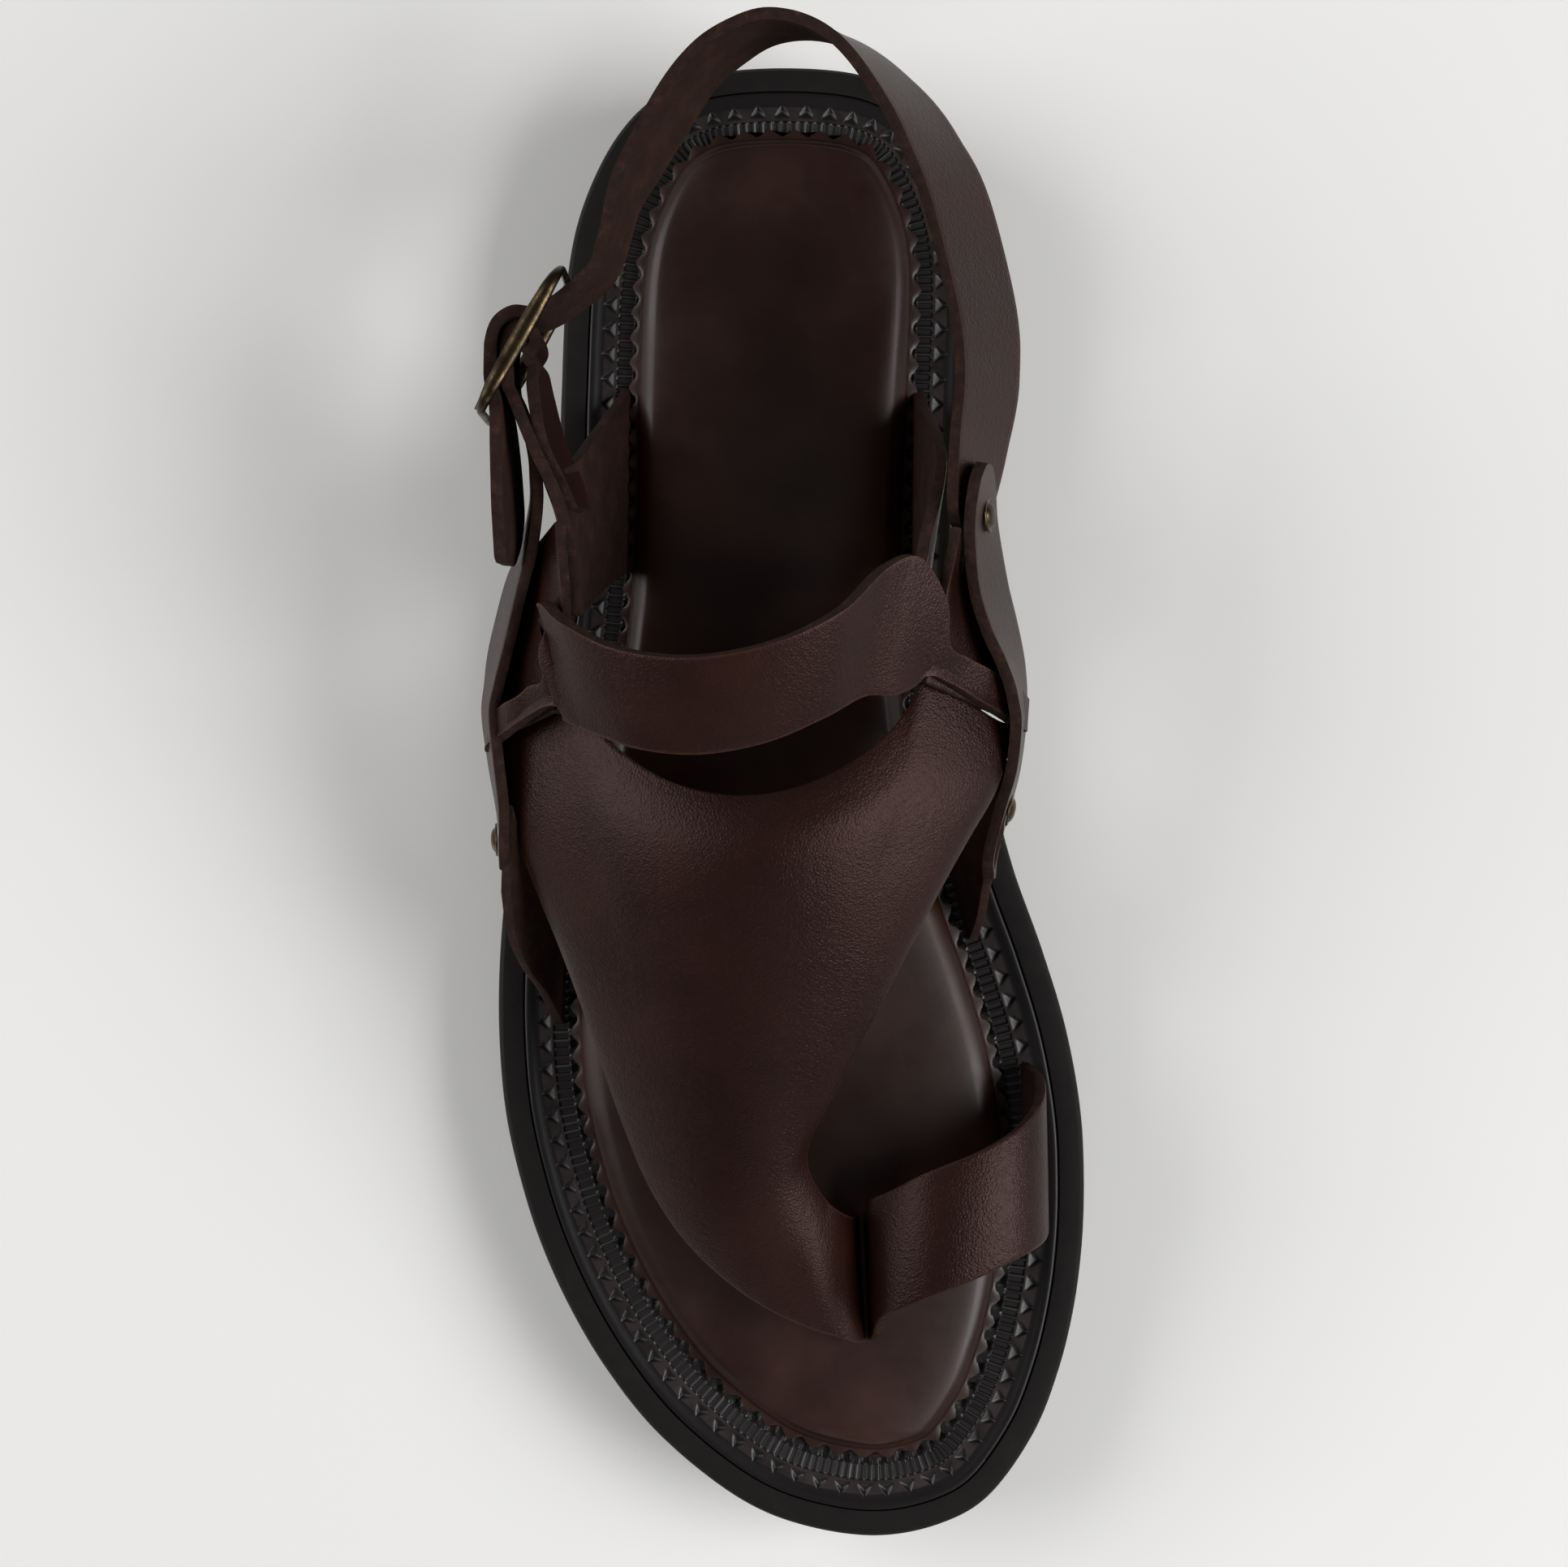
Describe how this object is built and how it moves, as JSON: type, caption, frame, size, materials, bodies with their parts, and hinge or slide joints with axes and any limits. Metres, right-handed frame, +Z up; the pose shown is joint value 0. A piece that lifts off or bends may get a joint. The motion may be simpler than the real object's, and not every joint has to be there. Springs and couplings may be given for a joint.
{
  "type": "wraparound sandal",
  "caption": "Brown leather wraparound sandal, right foot, with a toe loop, a buckled heel strap, a crowned footbed and a black embossed board on a rubber sole.",
  "frame": {"origin": "middle of the sole's length and width, on the ground", "axes": "+Z up, -Y towards the toe, +X towards the big toe's side"},
  "size_m": [0.1202, 0.295, 0.0911],
  "materials": {
    "sole_rubber": "matt moulded rubber",
    "board": "black embossed board with a waxed shine",
    "footbed_leather": "smooth dark brown leather with a soft gloss",
    "strap_leather": "smooth dark brown leather, suede inside, raw cut edges",
    "brass": "antique brushed brass"
  },
  "bodies": {
    "root": {"outsole": "sole_rubber", "welt_board": "board", "footbed": "footbed_leather", "upper": "strap_leather", "toe_loop": "strap_leather", "heel_strap": "strap_leather", "buckle_frame": "brass", "buckle_prong": "brass", "medial_rear_rivet": "brass", "medial_front_rivet": "brass", "lateral_front_rivet": "brass"}
  },
  "joints": []
}
